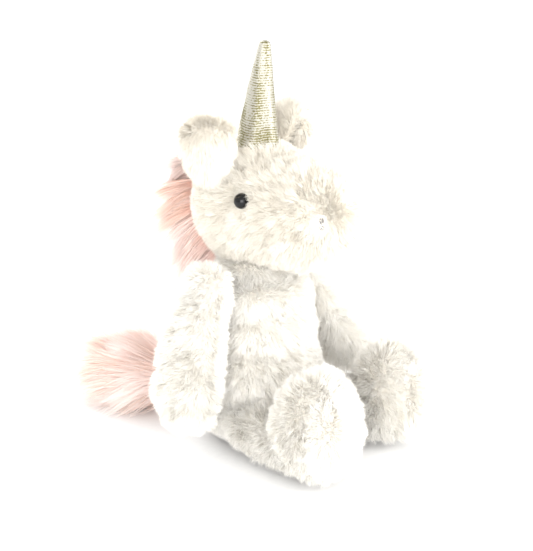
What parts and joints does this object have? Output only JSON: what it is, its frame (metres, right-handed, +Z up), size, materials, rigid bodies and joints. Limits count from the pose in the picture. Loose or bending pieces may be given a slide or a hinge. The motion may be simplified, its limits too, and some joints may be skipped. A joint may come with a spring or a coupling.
{
  "type": "plush unicorn",
  "caption": "Sitting stuffed unicorn of long-pile plush with a metallic cloth horn, floppy ears, bead eyes, swinging arms and legs, and a long-pile mane and tail.",
  "frame": {"origin": "on the flat seat, straight below the middle of the body", "axes": "+Z up along the body, -Y the way the unicorn faces, +X its left side"},
  "size_m": [0.1885, 0.2856, 0.2828],
  "materials": {
    "white_plush": "matte",
    "pink_pile": "matte",
    "gold_lame": "satin",
    "fibre_filling": "matte",
    "pouch_cloth": "matte",
    "pellets": "matte",
    "black_bead": "gloss",
    "washer_plastic": "matte",
    "grey_thread": "satin"
  },
  "bodies": {
    "torso": {"torso_front_panel": "white_plush", "torso_back_left_panel": "white_plush", "torso_back_right_panel": "white_plush", "torso_stuffing": "fibre_filling", "pellet_pouch": "pouch_cloth", "pellet_fill": "pellets"},
    "neck": {"neck_stuffing": "fibre_filling"},
    "head": {"head_left_panel": "white_plush", "head_right_panel": "white_plush", "head_gusset": "white_plush", "chin_panel": "white_plush", "head_stuffing": "fibre_filling", "eye_left": "black_bead", "eye_right": "black_bead", "eye_washer_left": "washer_plastic", "eye_washer_right": "washer_plastic", "nostril_left": "grey_thread", "nostril_right": "grey_thread", "mane_backing": "pink_pile", "mane_pile": "pink_pile"},
    "horn": {"horn_cover": "gold_lame", "horn_stuffing": "fibre_filling"},
    "ear_right": {"ear_right_outer": "white_plush", "ear_right_lining": "white_plush"},
    "arm_right": {"arm_right_outer_panel": "white_plush", "arm_right_inner_panel": "white_plush", "arm_right_stuffing": "fibre_filling"},
    "leg_right": {"leg_right_outer_panel": "white_plush", "leg_right_inner_panel": "white_plush", "leg_right_stuffing": "fibre_filling"},
    "ear_left": {"ear_left_outer": "white_plush", "ear_left_lining": "white_plush"},
    "arm_left": {"arm_left_outer_panel": "white_plush", "arm_left_inner_panel": "white_plush", "arm_left_stuffing": "fibre_filling"},
    "leg_left": {"leg_left_outer_panel": "white_plush", "leg_left_inner_panel": "white_plush", "leg_left_stuffing": "fibre_filling"},
    "tail": {"tail_core": "white_plush", "tail_pile": "pink_pile"}
  },
  "joints": [
    {"name": "neck_turn", "type": "hinge", "parent": "torso", "child": "neck", "pos_m": [0, 0, 0.124], "axis": [0, 0, 1], "range_deg": [-35, 35]},
    {"name": "head_nod", "type": "hinge", "parent": "neck", "child": "head", "pos_m": [0, 0, 0.124], "axis": [-1, 0, 0], "range_deg": [-14, 12]},
    {"name": "horn_bend", "type": "hinge", "parent": "head", "child": "horn", "pos_m": [0, -0.004, 0.21288], "axis": [1, 0, 0], "range_deg": [-10, 10], "stiffness_Nm_per_rad": 0.3},
    {"name": "ear_right_flop", "type": "hinge", "parent": "head", "child": "ear_right", "pos_m": [-0.03167, 0.009, 0.20546], "axis": [-0.4226, 0.9063, 0], "range_deg": [-6, 25], "stiffness_Nm_per_rad": 0.12},
    {"name": "ear_left_flop", "type": "hinge", "parent": "head", "child": "ear_left", "pos_m": [0.03167, 0.009, 0.20546], "axis": [-0.4226, -0.9063, 0], "range_deg": [-6, 25], "stiffness_Nm_per_rad": 0.12},
    {"name": "shoulder_right", "type": "hinge", "parent": "torso", "child": "arm_right", "pos_m": [-0.05, 0.002, 0.118], "axis": [-0.8852, 0.3721, 0.2791], "range_deg": [-4, 85]},
    {"name": "shoulder_left", "type": "hinge", "parent": "torso", "child": "arm_left", "pos_m": [0.05, 0.002, 0.118], "axis": [-0.8852, -0.3721, -0.2791], "range_deg": [-24, 65]},
    {"name": "hip_right", "type": "hinge", "parent": "torso", "child": "leg_right", "pos_m": [-0.03, -0.026, 0.024], "axis": [0.9703, -0.2419, 0], "range_deg": [-20, 55]},
    {"name": "hip_left", "type": "hinge", "parent": "torso", "child": "leg_left", "pos_m": [0.03, -0.026, 0.024], "axis": [0.9703, 0.2419, 0], "range_deg": [-20, 55]},
    {"name": "tail_swing", "type": "hinge", "parent": "torso", "child": "tail", "pos_m": [0, 0.056, 0.026], "axis": [0, 0, 1], "range_deg": [-25, 25]}
  ]
}
